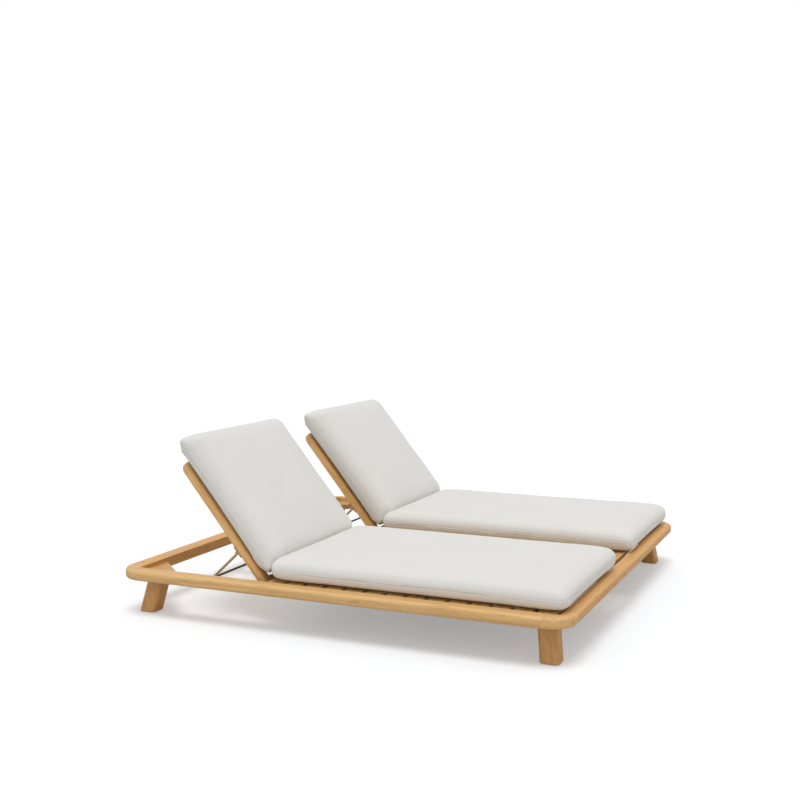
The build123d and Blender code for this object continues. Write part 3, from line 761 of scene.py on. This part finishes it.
def dress_frame():
    quarter = math.pi / 2
    along_y = (0.0, 0.0, -quarter)
    along_z = (0.0, quarter, 0.0)
    up_back = (0.0, math.pi - RECLINE, 0.0)
    finishes = {
        "side_rails": teak("planed_teak_side_rails", tone=0.97),
        "end_rails": teak("planed_teak_end_rails", along_y, (0.3, 0.0, 0.0), tone=0.92, stain="#FFF0D8"),
        "corners": teak("planed_teak_corners", (0.0, 0.0, 0.0), (0.3, 0.62, 0.18), tone=0.97),
        "gussets": teak(
            "planed_teak_gussets",
            (0.0, 0.0, -quarter / 2),
            (0.7, 0.0, 0.2),
            tone=0.84,
            stain="#FFFAF2",
        ),
        "legs": teak("planed_teak_legs", along_z, (0.1, 0.2, 0.0), tone=0.87, stain="#FFEEDC"),
        # The deck slats are a darker copy of the teak: painted shade from the cushions lying over them.
        "deck": teak("planed_teak_deck_slats_painted_shade", along_y, (0.0, 0.9, 0.0), board_mm=90.4, tone=0.86),
        "under": teak("planed_teak_bearers", (0.0, 0.0, 0.0), (0.0, 0.35, 0.15), tone=0.95),
        # The backrest rails are a lighter copy of the teak: painted light on their faces.
        "back_rails": teak(
            "planed_teak_backrest_rails_painted_light",
            up_back,
            (0.2, 0.1, 0.0),
            tone=1.1,
            stain="#FFFAF2",
        ),
        "back_cross": teak("planed_teak_backrest_slats", along_y, (0.5, 0.6, 0.3)),
        "bronze": coated_metal("powder_coated_bronze_steel", "#C6B18D", 0.48, "#BBA682"),
        # The prop bars are the same bronze coat, darkened: painted shade, as they sit in shade under the
        # backrests.
        "dark": coated_metal("powder_coated_bronze_steel_painted_shade", "#75665A", 0.5, "#6A5C51"),
        "stainless": brushed_stainless("turned_stainless_steel"),
        "nylon": moulded_nylon("moulded_black_nylon"),
    }
    # The first of these words that a piece's name holds gives its finish.
    rules = (
        ("corner_block", "corners"),
        ("gusset", "gussets"),
        ("leg_studs", "stainless"),
        ("foot_glides", "nylon"),
        ("deck_screws", "stainless"),
        ("hinge_pins", "stainless"),
        ("leg_", "legs"),
        ("deck_slat", "deck"),
        ("side_ledge", "under"),
        ("inner_bearer", "under"),
        ("side_rail", "side_rails"),
        ("head_rail", "end_rails"),
        ("foot_rail", "end_rails"),
        ("back_rail_outer", "back_rails"),
        ("back_rail_inner", "back_rails"),
        ("back_rail_", "back_cross"),
        ("back_slats", "back_cross"),
        ("prop_brackets", "bronze"),
        ("prop_arm", "bronze"),
        # The prop bars take the darkened bronze, which is painted shade.
        ("prop_bar", "dark"),
    )
    for name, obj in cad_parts.items():
        for word, finish in rules:
            if word in name:
                obj.data.materials.clear()
                obj.data.materials.append(finishes[finish])
                break


# ---- Floor, light and camera ----


# Brightness of the white walls at the horizon and overhead.
SKY_LOW, SKY_HIGH = 0.94, 0.45
# How the camera sees the floor: what it reflects, and the even white that lightens its shadow.
FLOOR_SEEN = (0.70, 0.72, 0.74, 1.0)
FLOOR_FILL, FLOOR_FILL_STRENGTH = (0.99, 1.0, 1.01, 1.0), 0.31
# What the floor throws back at the object.
FLOOR_BOUNCE = (0.62, 0.62, 0.62, 1.0)
WHITE = (1.0, 1.0, 1.0, 1.0)
# The camera stands here, in metres, turned from +Y towards -X and tilted down, in radians.
CAMERA_PLACE = (2.1439, -5.1476, 1.4113)
CAMERA_TURN = 0.413116
CAMERA_TILT = 0.0915755
# Its focal length in pixels of the picture's width.
FOCAL_PX, PICTURE_PX = 1168.06, 800
SENSOR_MM = 36.0


def white_when_seen(tree, lit):
    """Plain white for the camera and in reflections and glass; the given shader for all other light."""
    path = add_node(tree, "ShaderNodeLightPath")
    seen = path.outputs["Is Camera Ray"]
    for ray in ("Is Glossy Ray", "Is Transmission Ray"):
        seen = add_node(tree, "ShaderNodeMath", {0: seen, 1: path.outputs[ray]}, operation="MAXIMUM")
    white = add_node(tree, "ShaderNodeBackground", {"Color": WHITE, "Strength": 1.0})
    return add_node(tree, "ShaderNodeMixShader", {0: seen, 1: lit.outputs[0], 2: white.outputs[0]})


def make_stage():
    world = bpy.data.worlds.new("studio")
    bpy.context.scene.world = world
    world.use_nodes = True
    tree = world.node_tree
    tree.nodes.clear()
    # White walls round the object, a little dimmer overhead.
    direction = add_node(tree, "ShaderNodeTexCoord").outputs["Generated"]
    height = add_node(tree, "ShaderNodeSeparateXYZ", {0: direction}).outputs["Z"]
    dimmed = add_node(
        tree,
        "ShaderNodeMapRange",
        {
            "Value": height,
            "From Min": 0.0,
            "From Max": 1.0,
            "To Min": SKY_LOW,
            "To Max": SKY_HIGH,
        },
    )
    sky = add_node(tree, "ShaderNodeBackground", {"Color": WHITE, "Strength": dimmed})
    add_node(tree, "ShaderNodeOutputWorld", {"Surface": white_when_seen(tree, sky).outputs[0]})
    deselect_all()
    bpy.ops.mesh.primitive_plane_add(size=60.0, location=(0.0, 0.0, -0.0005))
    floor = bpy.context.object
    floor.name = "studio_floor"
    material, tree = new_material("white_floor")
    # The camera sees a white floor with a light neutral shadow; other rays see plain pale grey.
    path = add_node(tree, "ShaderNodeLightPath")
    bounce = add_node(tree, "ShaderNodeBsdfDiffuse", {"Color": FLOOR_BOUNCE})
    seen = add_node(tree, "ShaderNodeBsdfDiffuse", {"Color": FLOOR_SEEN})
    fill = add_node(tree, "ShaderNodeEmission", {"Color": FLOOR_FILL, "Strength": FLOOR_FILL_STRENGTH})
    lifted = add_node(tree, "ShaderNodeAddShader", {0: seen.outputs[0], 1: fill.outputs[0]})
    finish_surface(tree, add_node(
        tree,
        "ShaderNodeMixShader",
        {0: path.outputs["Is Camera Ray"], 1: bounce.outputs[0], 2: lifted.outputs[0]},
    ))
    floor.data.materials.append(material)


def broad_light(name, direction, spread, strength):
    """An even light over the whole floor from one side of the sky, with soft shadows."""
    deselect_all()
    bpy.ops.object.light_add(type="SUN", location=(0.0, 0.0, 3.0))
    lamp = bpy.context.object
    lamp.name = name
    lamp.data.energy = strength
    lamp.data.angle = math.radians(spread)
    lamp.rotation_euler = Vector(direction).to_track_quat("-Z", "Y").to_euler()


def make_camera():
    deselect_all()
    bpy.ops.object.camera_add(location=CAMERA_PLACE)
    camera = bpy.context.object
    camera.rotation_euler = (math.pi / 2 - CAMERA_TILT, 0.0, CAMERA_TURN)
    camera.data.sensor_width = SENSOR_MM
    camera.data.lens = SENSOR_MM * FOCAL_PX / PICTURE_PX
    camera.data.clip_end = 100.0
    bpy.context.scene.camera = camera


make_cushions()
dress_frame()
make_stage()
broad_light("overhead", direction=(-0.06, 0.24, -0.96), spread=28.0, strength=1.45)
make_camera()
bpy.context.scene.view_settings.view_transform = "Standard"
